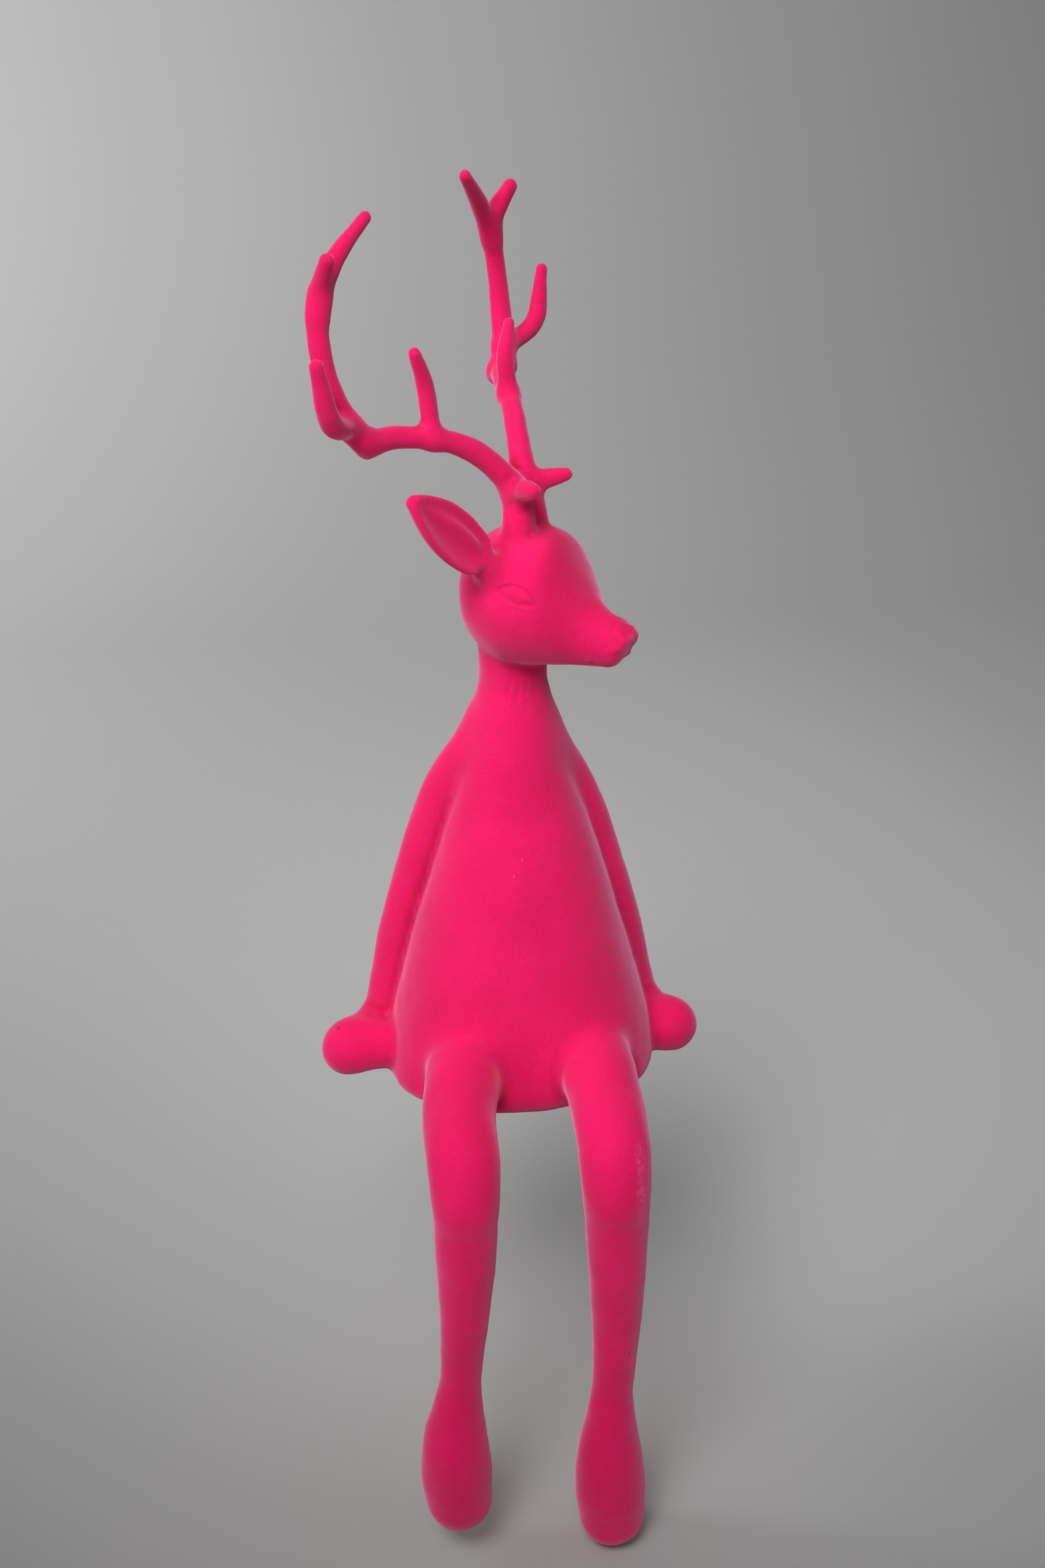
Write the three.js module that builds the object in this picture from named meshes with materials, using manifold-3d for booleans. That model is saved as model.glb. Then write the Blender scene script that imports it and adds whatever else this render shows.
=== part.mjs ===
// A seated reindeer figure, cast in one piece and flocked all over.
// Millimetres, +Z up. The origin is the middle of the flat underside that it sits on.
// It faces -Y with its head turned towards +X, and its lower legs hang over an edge.

import * as THREE from 'three';
import { mergeVertices } from 'three/addons/utils/BufferGeometryUtils.js';
import Module from 'manifold-3d';

const wasm = await Module();
wasm.setup();

// Body
const BODY_WIDTH = 194;
const BODY_DEPTH = 161;
const BODY_SQUARENESS = 2.6;
const BODY_HEIGHT = 300;
const NECK_RADIUS = 22.5;
const NECK_LEAN = 1.5;

// Seat: how far in front of the origin the edge lies that the knees bend over
const SEAT_EDGE = 139;

// Arms and hands, the first of each pair on the -X side
const ARM_RADIUS = 15;
const ARM_BACK = 17;
const ARM_CLOSER = [0, 2.5];
const HAND_RADIUS = 18;
const HAND_REACH = [122, 113];
const HAND_FORWARD = [12, 10];

// Legs, the first of each pair on the -X side
const HIP_SPREAD = 32;
const KNEE_RADIUS = 24.5;
const SHIN_GAP = 3;
const LEG_DROP = [305, 338];

// Head
const HEAD_TURN = 56.5;
const HEAD_FORWARD = 12.5;
const HEAD_RISE = 61.5;
const SKULL_RADIUS = 44.3;
const SKULL_TALLNESS = 1.06;
const MUZZLE_REACH = 82.3;
const EYE_LENGTH = 29;
const EYE_HEIGHT = 14;
const EYE_RELIEF = 1.6;

// Ears
const EAR_LENGTH = 90;
const EAR_WIDTH = 38;
const EAR_RIM = 7;
const EAR_CUP = 7;

// Antlers
const ANTLER_HEIGHT = 216.5;
const ANTLER_RADIUS = 7.6;
const PEDICLE_SIDE = 9.9;
const PEDICLE_BACK = 2.2;

// Facets
const BODY_SIDES = 36;
const LIMB_SIDES = 16;
const HEAD_SIDES = 28;
const ANTLER_SIDES = 10;
const ROUND_END = [0.3, 0.6, 0.85].map((share) => share * Math.PI / 2);

// Body outline from the seat up: [share of the height, share of the half width]
const BODY_PROFILE = [
  [0.0, 0.925], [0.01, 0.972], [0.03, 0.998], [0.08, 0.992], [0.2, 0.925], [0.31, 0.858],
  [0.42, 0.775], [0.523, 0.683], [0.627, 0.588], [0.72, 0.497], [0.8, 0.413], [0.87, 0.344],
  [0.93, 0.29], [0.96, 0.262], [1.0, 0.236],
];

// Arm from the shoulder down: [share of the body's height, out from its side, share of the arm radius]
const ARM_POINTS = [
  [0.88, -13.5, 0.75], [0.8, -8.3, 0.92], [0.72, -4.5, 1.0], [0.6, -2.2, 1.02], [0.47, -1.7, 1.02],
  [0.33, -1.2, 1.0], [0.2, -1, 1.0], [0.1, 0, 1.05], [0.06, 1, 1.08],
];

// Hand from inside the body out: [share of its reach, how far back it spreads in hand radii]
const HAND_SECTIONS = [[0.62, 2.5], [0.79, 2.5], [0.9, 1.75], [1.0, 1.0]];

// Lower leg from the knee down: [share of the drop, share of the knee radius]
const SHIN_POINTS = [
  [0.075, 0.88], [0.2, 0.815], [0.33, 0.71], [0.46, 0.618], [0.545, 0.61], [0.63, 0.74],
  [0.72, 0.945], [0.81, 1.045], [0.905, 0.99],
];

// How far out the lower legs hang, each from the knee down: [share of the drop, distance from the middle]
const SHIN_SPREAD = [
  [[0, 50], [0.25, 51.5], [0.4, 54.2], [0.55, 57.6], [0.65, 60.6], [0.75, 62.4], [0.88, 61.6], [1, 60.3]],
  [[0, 51.2], [0.2, 52.4], [0.35, 52.9], [0.45, 51.9], [0.55, 50.4], [0.65, 49.6], [0.82, 50], [1, 53]],
];

// Head from behind the forehead to the nose, in shares of the muzzle's reach and the skull's radius:
// [forward, top, bottom, half width], the heights from the skull's centre
const MUZZLE_STATIONS = [
  [0.3, 0.9, -0.98, 0.87], [0.4, 0.72, -0.95, 0.77], [0.49, 0.44, -0.92, 0.65], [0.58, 0.14, -0.91, 0.52],
  [0.71, -0.06, -0.89, 0.42], [0.83, -0.155, -0.84, 0.35], [0.92, -0.235, -0.7, 0.26], [0.97, -0.31, -0.58, 0.17],
];

// Antler beam from the skull to its tip, in shares of the antler's height: [forward, outward, up, thickness]
const BEAM_POINTS = [
  [0, 0, 0, 1.9], [0.006, -0.008, 0.104, 1.44], [-0.013, -0.016, 0.191, 1.21], [-0.058, 0.036, 0.281, 1.0],
  [-0.132, 0.131, 0.361, 0.92], [-0.232, 0.264, 0.397, 0.9], [-0.276, 0.352, 0.406, 1.05],
  [-0.313, 0.414, 0.493, 1.0], [-0.344, 0.445, 0.622, 0.87], [-0.363, 0.434, 0.759, 0.84],
  [-0.362, 0.361, 0.873, 0.78], [-0.332, 0.205, 0.994, 0.52],
];

// Tines: the place on the beam that each grows from, counted in its points, and its middle and tip
const TINES = [
  { from: 2, middle: [0.047, 0.035, 0.208], tip: [0.097, 0.072, 0.224], thickness: [1.1, 0.85, 0.6] },
  { from: 4.35, middle: [-0.185, 0.175, 0.53], tip: [-0.191, 0.221, 0.645], thickness: [0.95, 0.72, 0.48] },
  { from: 6.05, middle: [-0.294, 0.332, 0.382], tip: [-0.295, 0.325, 0.345], thickness: [1.0, 0.9, 0.55] },
  { from: 6.8, middle: [-0.266, 0.541, 0.515], tip: [-0.266, 0.602, 0.69], thickness: [0.95, 0.82, 0.52] },
  { from: 9, middle: [-0.353, 0.428, 0.829], tip: [-0.304, 0.455, 0.93], thickness: [0.8, 0.7, 0.52] },
];

// The two antlers mirror each other, but for a slight lean in degrees and a few shorter tines
const ANTLERS = [
  { sign: -1, lean: [0, 0, 0], size: 1, tineLengths: [1, 1, 1, 1, 1] },
  { sign: 1, lean: [0.8, 1.8, 0.4], size: 1.02, tineLengths: [1.1, 0.82, 0.82, 0.93, 1.05] },
];

// Ear outline along its length: [share of the length, share of the half width]
const EAR_PROFILE = [
  [0.0, 0.35], [0.14, 0.62], [0.3, 0.9], [0.46, 1.0], [0.62, 0.92], [0.78, 0.73], [0.9, 0.52], [0.965, 0.32],
];

// Ears, the raised one on the head's right first: where each grows from the skull and where it points
const EARS = [
  { sign: -1, root: [-0.02, 0.8, 0.56], direction: [-0.308, 0.66, 0.675] },
  { sign: 1, root: [-0.05, 0.85, 0.3], direction: [-0.5, 0.81, -0.3] },
];

const flock = new THREE.MeshStandardMaterial({ color: 0xdf1f5f, roughness: 0.95, metalness: 0 });

// A smooth value through rows of [position, value], straight beyond both ends
function valueAt(rows, position, column = 1) {
  const last = rows.length - 1;
  let i = 0;
  while (i < last - 1 && position > rows[i + 1][0]) i += 1;
  const here = rows[i];
  const next = rows[i + 1];
  const before = rows[Math.max(i - 1, 0)];
  const after = rows[Math.min(i + 2, last)];
  const span = next[0] - here[0];
  const t = THREE.MathUtils.clamp((position - here[0]) / span, 0, 1);
  const slopeHere = i === 0 ? (next[column] - here[column]) / span
    : (next[column] - before[column]) / (next[0] - before[0]);
  const slopeNext = i === last - 1 ? (next[column] - here[column]) / span
    : (after[column] - here[column]) / (after[0] - here[0]);
  const t2 = t * t;
  const t3 = t2 * t;
  return (2 * t3 - 3 * t2 + 1) * here[column] + (t3 - 2 * t2 + t) * span * slopeHere
    + (3 * t2 - 2 * t3) * next[column] + (t3 - t2) * span * slopeNext;
}

// The closed skin over a row of rings, drawn together to a point at each end
function skin(rings, startPoint, endPoint) {
  const sides = rings[0].length;
  const positions = [startPoint, ...rings.flat(), endPoint].flatMap((p) => [p.x, p.y, p.z]);
  const first = 1;
  const end = rings.length * sides + 1;
  const faces = [];
  for (let side = 0; side < sides; side += 1) {
    const beside = (side + 1) % sides;
    faces.push(0, first + beside, first + side);
    for (let ring = 0; ring < rings.length - 1; ring += 1) {
      const low = first + ring * sides;
      const high = low + sides;
      faces.push(low + side, low + beside, high + beside);
      faces.push(low + side, high + beside, high + side);
    }
    faces.push(end - sides + side, end - sides + beside, end);
  }
  const geometry = new THREE.BufferGeometry();
  geometry.setAttribute('position', new THREE.Float32BufferAttribute(positions, 3));
  geometry.setIndex(faces);
  return geometry;
}

function solidFrom(geometry) {
  const plain = geometry.clone();
  plain.deleteAttribute('normal');
  plain.deleteAttribute('uv');
  const merged = mergeVertices(plain, 1e-4);
  return new wasm.Manifold(new wasm.Mesh({
    numProp: 3,
    vertProperties: Float32Array.from(merged.attributes.position.array),
    triVerts: Uint32Array.from(merged.index.array),
  }));
}

function geometryFrom(solid) {
  const mesh = solid.getMesh();
  const geometry = new THREE.BufferGeometry();
  geometry.setAttribute('position', new THREE.Float32BufferAttribute(mesh.vertProperties, 3));
  geometry.setIndex([...mesh.triVerts]);
  geometry.computeVertexNormals();
  return geometry;
}

// A ring of an ellipse round a centre, in the plane of the across and along directions;
// a power above 2 makes its corners fuller
function ellipseRing(centre, across, along, sides, power = 2) {
  const ring = [];
  for (let side = 0; side < sides; side += 1) {
    const angle = (2 * Math.PI * side) / sides;
    const cosine = Math.cos(angle);
    const sine = Math.sin(angle);
    const reach = (Math.abs(cosine) ** power + Math.abs(sine) ** power) ** (-1 / power);
    ring.push(centre.clone()
      .addScaledVector(across, reach * cosine)
      .addScaledVector(along, reach * sine));
  }
  return ring;
}

// A limb: a round bar of changing radius along a smooth curve, with a round end
function limb(points, radii, sides, stepsBetweenPoints = 2) {
  const curve = new THREE.CatmullRomCurve3(points, false, 'centripetal');
  const rows = radii.map((radius, i) => [i, radius]);
  const count = (points.length - 1) * stepsBetweenPoints;
  const rings = [];
  let across = new THREE.Vector3(1, 0, 0);
  let tangent = null;
  let centre = null;
  let radius = 0;
  const addRing = (middle, size) => {
    const along = new THREE.Vector3().crossVectors(tangent, across).normalize();
    rings.push(ellipseRing(middle, across.clone().multiplyScalar(size), along.multiplyScalar(size), sides));
  };
  for (let step = 0; step <= count; step += 1) {
    const t = step / count;
    centre = curve.getPoint(t);
    tangent = curve.getTangent(t);
    if (step === 0 && Math.abs(tangent.x) > 0.8) across = new THREE.Vector3(0, 1, 0);
    across = across.addScaledVector(tangent, -across.dot(tangent)).normalize();
    radius = valueAt(rows, t * (points.length - 1));
    addRing(centre, radius);
  }
  for (const turn of ROUND_END) {
    addRing(centre.clone().addScaledVector(tangent, radius * Math.sin(turn)), radius * Math.cos(turn));
  }
  const tip = centre.clone().addScaledVector(tangent, radius);
  return solidFrom(skin(rings, points[0].clone(), tip));
}

function bodyHalfWidth(share) {
  return (BODY_WIDTH / 2) * valueAt(BODY_PROFILE, share);
}

// The body and neck: a pear that stands on its flat underside, squarer there and round at the neck
function makeBody() {
  const rings = [];
  for (const [share] of BODY_PROFILE) {
    const width = bodyHalfWidth(share);
    const across = new THREE.Vector3(width, 0, 0);
    const along = new THREE.Vector3(0, width * THREE.MathUtils.lerp(BODY_DEPTH / BODY_WIDTH, 1, share), 0);
    const middle = new THREE.Vector3(NECK_LEAN * share * share, 0, share * BODY_HEIGHT);
    const power = THREE.MathUtils.lerp(BODY_SQUARENESS, 2, Math.min(share * 1.5, 1));
    rings.push(ellipseRing(middle, across, along, BODY_SIDES, power));
  }
  const neckTop = new THREE.Vector3(NECK_LEAN, 0, BODY_HEIGHT + HEAD_RISE / 2);
  const across = new THREE.Vector3(NECK_RADIUS, 0, 0);
  const along = new THREE.Vector3(0, NECK_RADIUS, 0);
  rings.push(ellipseRing(neckTop, across, along, BODY_SIDES));
  return solidFrom(skin(rings, new THREE.Vector3(), neckTop));
}

// A mitten hand: it lies flat on the seat and points sideways out of the body
function makeHand(side) {
  const sign = side === 0 ? -1 : 1;
  const reach = HAND_REACH[side];
  const rings = [];
  const addSection = (outward, back, size) => {
    const depth = (1 + back) / 2 * size;
    const middle = new THREE.Vector3(sign * outward, (back - 1) / 2 * size - HAND_FORWARD[side], HAND_RADIUS);
    const across = new THREE.Vector3(0, sign * depth, 0);
    rings.push(ellipseRing(middle, across, new THREE.Vector3(0, 0, size), LIMB_SIDES));
  };
  for (const [share, back] of HAND_SECTIONS) addSection(share * reach, back, HAND_RADIUS);
  for (const turn of ROUND_END) {
    addSection(reach + HAND_RADIUS * Math.sin(turn), 1, HAND_RADIUS * Math.cos(turn));
  }
  const start = new THREE.Vector3(sign * HAND_SECTIONS[0][0] * reach, 0, HAND_RADIUS);
  const tip = new THREE.Vector3(sign * (reach + HAND_RADIUS), -HAND_FORWARD[side], HAND_RADIUS);
  return solidFrom(skin(rings, start, tip));
}

// An arm along the body's side, and its hand
function makeArm(side) {
  const sign = side === 0 ? -1 : 1;
  const points = [];
  const radii = [];
  for (const [share, out, thickness] of ARM_POINTS) {
    const outward = bodyHalfWidth(share) + out - ARM_CLOSER[side];
    points.push(new THREE.Vector3(sign * outward, ARM_BACK, share * BODY_HEIGHT));
    radii.push(ARM_RADIUS * thickness);
  }
  return limb(points, radii, LIMB_SIDES, 1).add(makeHand(side));
}

// A leg: the thigh lies on the seat, the knee bends over its edge and the foot hangs below
function makeLeg(side) {
  const sign = side === 0 ? -1 : 1;
  const outward = (share) => sign * valueAt(SHIN_SPREAD[side], share);
  const knee = outward(0);
  const shinY = -SEAT_EDGE - SHIN_GAP - KNEE_RADIUS * 0.92;
  const points = [
    new THREE.Vector3(sign * HIP_SPREAD, -SEAT_EDGE * 0.2, KNEE_RADIUS * 1.5),
    new THREE.Vector3(sign * HIP_SPREAD * 1.4, -SEAT_EDGE * 0.55, KNEE_RADIUS * 1.45),
    new THREE.Vector3(knee, -SEAT_EDGE * 0.86, KNEE_RADIUS * 1.15),
    new THREE.Vector3(knee, shinY + KNEE_RADIUS * 0.45, KNEE_RADIUS * 0.72),
    new THREE.Vector3(knee, shinY, -KNEE_RADIUS * 0.1),
  ];
  const radii = [1.1, 1.08, 1.03, 1.0, 0.94].map((share) => share * KNEE_RADIUS);
  for (const [share, thickness] of SHIN_POINTS) {
    points.push(new THREE.Vector3(outward(share), shinY, -share * LEG_DROP[side]));
    radii.push(KNEE_RADIUS * thickness);
  }
  return limb(points, radii, LIMB_SIDES);
}

// The skull and muzzle in the head's own frame: +X forward, the skull's centre at the origin
function makeSkull() {
  const rings = [];
  const addStation = (forward, top, bottom, halfWidth) => {
    const centre = new THREE.Vector3(forward, 0, (top + bottom) / 2);
    const across = new THREE.Vector3(0, halfWidth, 0);
    const along = new THREE.Vector3(0, 0, (top - bottom) / 2);
    rings.push(ellipseRing(centre, across, along, HEAD_SIDES));
  };
  const backSteps = 9;
  const frontAngle = Math.asin(MUZZLE_STATIONS[0][0] * MUZZLE_REACH / SKULL_RADIUS);
  for (let step = 1; step < backSteps; step += 1) {
    const angle = THREE.MathUtils.lerp(-Math.PI / 2, frontAngle, step / backSteps);
    const size = SKULL_RADIUS * Math.cos(angle);
    addStation(SKULL_RADIUS * Math.sin(angle), size * SKULL_TALLNESS, -size * SKULL_TALLNESS, size);
  }
  for (const [forward, top, bottom, halfWidth] of MUZZLE_STATIONS) {
    addStation(forward * MUZZLE_REACH, top * SKULL_RADIUS, bottom * SKULL_RADIUS, halfWidth * SKULL_RADIUS);
  }
  const noseTip = new THREE.Vector3(MUZZLE_REACH, 0, -0.42 * SKULL_RADIUS);
  return solidFrom(skin(rings, new THREE.Vector3(-SKULL_RADIUS, 0, 0), noseTip));
}

// An almond eye in low relief on the side of the skull
function makeEye(sign) {
  const outward = new THREE.Vector3(0.32, sign * 0.86, 0.36).normalize();
  const forward = new THREE.Vector3(1, 0, -0.06).projectOnPlane(outward).normalize();
  const up = new THREE.Vector3().crossVectors(outward, forward);
  const eye = new THREE.SphereGeometry(1, 16, 6);
  const sink = EYE_HEIGHT * 0.4;
  const place = new THREE.Matrix4().makeBasis(
    forward.multiplyScalar(EYE_LENGTH / 2),
    up.multiplyScalar(EYE_HEIGHT / 2),
    outward.clone().multiplyScalar(sink + EYE_RELIEF),
  ).setPosition(outward.multiplyScalar(SKULL_RADIUS - sink));
  eye.applyMatrix4(place);
  return solidFrom(eye);
}

// A leaf-shaped ear, cupped towards the front with a raised fold along its middle
function makeEar({ sign, root: rootShares, direction }) {
  const axis = new THREE.Vector3(...direction).normalize();
  const front = new THREE.Vector3(1, 0, 0).projectOnPlane(axis).normalize();
  const across = new THREE.Vector3().crossVectors(axis, front);
  const root = new THREE.Vector3(...rootShares).multiplyScalar(SKULL_RADIUS);
  const points = 9;
  const rings = [];
  const section = (share, halfWidth) => {
    const centre = root.clone().addScaledVector(axis, share * EAR_LENGTH);
    const width = halfWidth * EAR_WIDTH / 2;
    const cup = EAR_CUP * halfWidth;
    const rim = EAR_RIM / 2 * Math.min(1, halfWidth * 2);
    const place = (u, depth) => centre.clone().addScaledVector(across, u * width).addScaledVector(front, depth);
    const inner = [];
    const outer = [];
    for (let i = 0; i < points; i += 1) {
      const u = -Math.cos((Math.PI * (i + 0.5)) / points);
      const bowl = -cup * (1 - u * u);
      const fold = EAR_CUP * 0.35 * halfWidth * Math.exp(-((u / 0.25) ** 2));
      const edge = rim * Math.sqrt(1 - u * u * 0.9);
      inner.push(place(u, bowl + edge * 0.5 + fold));
      outer.push(place(u, bowl - edge * 1.5));
    }
    return [...inner, ...outer.reverse()];
  };
  for (const [share, halfWidth] of EAR_PROFILE) rings.push(section(share, halfWidth));
  const tip = root.clone().addScaledVector(axis, EAR_LENGTH).addScaledVector(front, -1);
  const middle = root.clone().addScaledVector(front, -EAR_CUP * 0.5);
  const ear = skin(rings, middle, tip);
  const mirrored = new THREE.Matrix4().makeScale(1, sign, 1);
  ear.applyMatrix4(mirrored);
  if (sign < 0) ear.index.array.reverse();
  return solidFrom(ear);
}

// The same path with its last point drawn back, so that the round end stops at the tip
function drawnBack(path, radius) {
  const tip = path[path.length - 1];
  const towards = path[path.length - 2].clone().sub(tip).normalize();
  return [...path.slice(0, -1), tip.clone().addScaledVector(towards, radius)];
}

// One antler: the beam and its five tines
function makeAntler({ sign, lean, size, tineLengths }) {
  const [forwardLean, outwardLean, turn] = lean.map(THREE.MathUtils.degToRad);
  const place = new THREE.Matrix4()
    .makeScale(1, sign, 1)
    .multiply(new THREE.Matrix4().makeTranslation(-PEDICLE_BACK, PEDICLE_SIDE, SKULL_RADIUS * 0.66))
    .multiply(new THREE.Matrix4().makeRotationFromEuler(new THREE.Euler(forwardLean, outwardLean, turn)));
  const pointAt = ([forward, outward, up]) => (
    new THREE.Vector3(forward, outward, up).multiplyScalar(size * ANTLER_HEIGHT).applyMatrix4(place)
  );
  const branch = (path, shares) => {
    const radii = shares.map((share) => share * ANTLER_RADIUS);
    return limb(drawnBack(path, radii[radii.length - 1]), radii, ANTLER_SIDES);
  };
  const beamPath = BEAM_POINTS.map(pointAt);
  const beamCurve = new THREE.CatmullRomCurve3(beamPath, false, 'centripetal');
  const beam = branch(beamPath, BEAM_POINTS.map((row) => row[3]));
  return TINES.reduce((antler, { from, middle, tip, thickness }, i) => {
    const root = beamCurve.getPoint(from / (BEAM_POINTS.length - 1));
    const ends = [middle, tip].map((point) => root.clone().lerp(pointAt(point), tineLengths[i]));
    return antler.add(branch([root, ...ends], thickness));
  }, beam);
}

// The head with its eyes, ears and antlers, turned and set on the neck
function makeHead() {
  let head = makeSkull();
  for (const sign of [-1, 1]) head = head.add(makeEye(sign));
  for (const ear of EARS) head = head.add(makeEar(ear));
  for (const antler of ANTLERS) head = head.add(makeAntler(antler));
  const turn = THREE.MathUtils.degToRad(HEAD_TURN - 90);
  const place = new THREE.Matrix4()
    .makeRotationZ(turn)
    .multiply(new THREE.Matrix4().makeTranslation(HEAD_FORWARD, 0, BODY_HEIGHT + HEAD_RISE));
  return head.transform(place.elements);
}

// The space of whatever it sits on, which leaves its underside flat
function makeSeatSpace() {
  const room = BODY_WIDTH * 3;
  const space = new THREE.BoxGeometry(room, room, room);
  space.translate(0, room / 2 - SEAT_EDGE, -room / 2);
  return solidFrom(space);
}

function makeFigure() {
  const pieces = [makeArm(0), makeArm(1), makeLeg(0), makeLeg(1), makeHead()];
  const whole = pieces.reduce((figure, piece) => figure.add(piece), makeBody());
  const figure = new THREE.Mesh(geometryFrom(whole.subtract(makeSeatSpace())), flock);
  figure.name = 'reindeer_figure';
  return figure;
}

const reindeer = new THREE.Group();
reindeer.add(makeFigure());

export default reindeer;
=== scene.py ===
# A seated reindeer figure, flocked in pink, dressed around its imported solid.
# Shapes are worked out in millimetres in the solid's own frame and turned to metres at the end.
# Every form is a distance field: forms are melted together with fillets, and one skin is drawn
# over the result, so arms, thighs, ears and antlers grow out of the figure without a seam.

import math

import bmesh
import bpy
import numpy as np
from mathutils import Matrix, Vector


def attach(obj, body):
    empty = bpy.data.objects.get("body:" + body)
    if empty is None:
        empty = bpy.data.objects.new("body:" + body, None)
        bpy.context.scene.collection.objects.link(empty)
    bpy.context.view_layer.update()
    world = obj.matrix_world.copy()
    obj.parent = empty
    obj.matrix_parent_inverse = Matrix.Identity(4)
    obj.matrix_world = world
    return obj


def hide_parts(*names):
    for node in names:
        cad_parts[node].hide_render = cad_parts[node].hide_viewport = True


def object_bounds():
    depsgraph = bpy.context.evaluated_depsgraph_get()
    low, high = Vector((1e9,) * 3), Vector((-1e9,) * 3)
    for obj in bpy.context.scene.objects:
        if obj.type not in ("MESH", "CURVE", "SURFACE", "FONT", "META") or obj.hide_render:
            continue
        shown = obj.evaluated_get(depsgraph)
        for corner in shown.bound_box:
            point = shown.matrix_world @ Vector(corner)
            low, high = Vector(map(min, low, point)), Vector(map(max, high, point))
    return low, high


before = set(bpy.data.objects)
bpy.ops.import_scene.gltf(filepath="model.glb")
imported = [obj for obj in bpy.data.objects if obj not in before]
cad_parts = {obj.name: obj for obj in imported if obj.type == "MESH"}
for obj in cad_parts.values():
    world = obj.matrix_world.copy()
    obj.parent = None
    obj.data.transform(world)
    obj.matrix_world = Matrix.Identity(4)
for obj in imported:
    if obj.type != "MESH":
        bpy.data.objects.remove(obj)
cad_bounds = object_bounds()

# Body
BODY_WIDTH = 194.0
BODY_DEPTH = 161.0
BODY_SQUARENESS = 2.5
SQUARENESS_FADE = 1.5
BODY_HEIGHT = 300.0
NECK_TOP = 335.0
BELLY_FORWARD = 0.15
SEAT_EDGE = 139.0

# Arms and hands, the first of each pair on the -X side; the last three are shares of the body's width
# and of the hand's radius
ARM_RADIUS = 15.0
ARM_BACK = 17.0
ARM_CLOSER = (0.0, 2.5)
HAND_RADIUS = 18.0
HAND_REACH = (122.0, 113.0)
HAND_FORWARD = (12.0, 10.0)
HAND_HEEL = 0.4
HEEL_THICKNESS = 0.97
WRIST_THICKNESS = 0.9

# Legs, the first of each pair on the -X side; the setback of the shins is in knee radii
HIP_SPREAD = (32.0, 44.0)
KNEE_RADIUS = 24.5
SHIN_GAP = 3.0
SHIN_SETBACK = 0.92
LEG_DROP = (305.0, 338.0)

# Head
HEAD_TURN = 56.5
HEAD_FORWARD = 12.5
HEAD_RISE = 61.5
SKULL_RADIUS = 44.3
SKULL_TALLNESS = 1.06
MUZZLE_REACH = 82.0
NOSE_ROUND_FROM = 0.86
NOSE_TOP = (80.5, 0.0, -13.6)
NOSE_SLOPE = 30.0
NOSE_ROUNDING = 4.5

# Ears
EAR_LENGTH = 90.0
EAR_WIDTH = 35.5
EAR_THICKNESS = 8.4
EAR_CUP = 5.5
EAR_BASE = 19.0
EAR_BASE_SLANT = 0.15
EAR_BASE_ROUNDING = 9.0
EAR_RIM = 6.0

# Antlers: the height of their roots is in skull radii
ANTLER_HEIGHT = 216.5
ANTLER_RADIUS = 7.6
PEDICLE_SIDE = 9.9
PEDICLE_BACK = 2.2
PEDICLE_HEIGHT = 0.66
TINE_FOOT = 0.85

# Fillets where forms melt together; the shoulder's begins at a share of the height and grows over another
ARM_FILLET = 5.0
SHOULDER_FILLET = 13.0
SHOULDER_FROM = 0.66
SHOULDER_SPAN = 0.2
WRIST_FILLET = 9.0
THIGH_FILLETS = (8.0, 7.0)
BELLY_ROUNDING = 18.0
NECK_FILLET = 5.0
EAR_FILLET = 6.0
EAR_STALK_FILLET = 6.0
PEDICLE_FILLET = 4.0
TINE_FILLET = 7.0
UNDERSIDE_ROUNDING = 3.5

# Skin: the body's grid and the head's, where they meet, the space each covers, how far from a form its
# distance is worked out, and how the corners are evened out and drawn onto the surface
BODY_CELL = 3.3
HEAD_CELL = 1.65
NECK_CUT = 280.0
BLOCK = 4
BLOCKS_NEAR = 1.3
BODY_SPAN_X = (-150.0, 146.0)
BODY_SPAN_Y = (-200.0, 100.0)
ROOM_BELOW_FEET = 6.0
HEAD_SPAN_X = (-132.0, 104.0)
HEAD_SPAN_Y = (-106.0, 152.0)
HEAD_TOP = 626.0
FAR = 60.0
REACH_MARGIN = 30.0
EAR_MARGIN = 14.0
HEAD_MARGIN = 40.0
FACE_MARGIN = 10.0
SLOPE_STEP = 2.0
GRADIENT_STEP = 0.25
STEEPNESS_FLOOR = 0.1
LONGEST_PULL = 2.0
RELAX_ROUNDS = 4
RELAX_STRENGTH = 0.5
FINISH_ROUNDS = 2
# How far out the skin's enclosure is sampled for painting shade into hollows, and how far in its exposure is
# sampled
RECESS_REACHES = (3.0, 8.0, 18.0)
EXPOSED_REACH = 2.5

# How many stretches curves are divided into between two of their points, and outlines over their length
BAR_STEPS = 6
SHORT_BAR_STEPS = 4
BRANCH_STEPS = 5
CURVE_STEPS = 20
EAR_OUTLINE_STEPS = 24
LOOKUP_STEPS = 400

# Eyes: their corners on the head's left side, in its own frame, and their relief
EYE_REAR = (0.7, 42.3, 17.3)
EYE_FRONT = (25.6, 36.3, 9.3)
EYE_UPPER = 6.3
EYE_LOWER = 4.0
EYE_ARCH_POWER = 2.2
EYE_UPPER_POWER = 0.9
EYE_BULGE = 1.5
EYE_ROUNDING = 4.4
EYE_REACH = 19.0

# Where the eye's relief fades: past its corners in half lengths, above and below it, and inside the head
EYE_FADE_START = 1.6
EYE_FADE_RATE = 1.25
EYE_FADE_HEIGHT = 18.0
EYE_FADE_HEIGHT_SPAN = 6.0
EYE_FADE_DEPTH = 16.0
EYE_FADE_DEPTH_SPAN = 4.0

# Lids: the crease round the eye and the low rim outside it
LID_CREASE = 1.4
LID_CREASE_WIDTH = 1.3
LID_RIM = 0.45
LID_RIM_AWAY = 1.9
LID_RIM_WIDTH = 1.3

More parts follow.
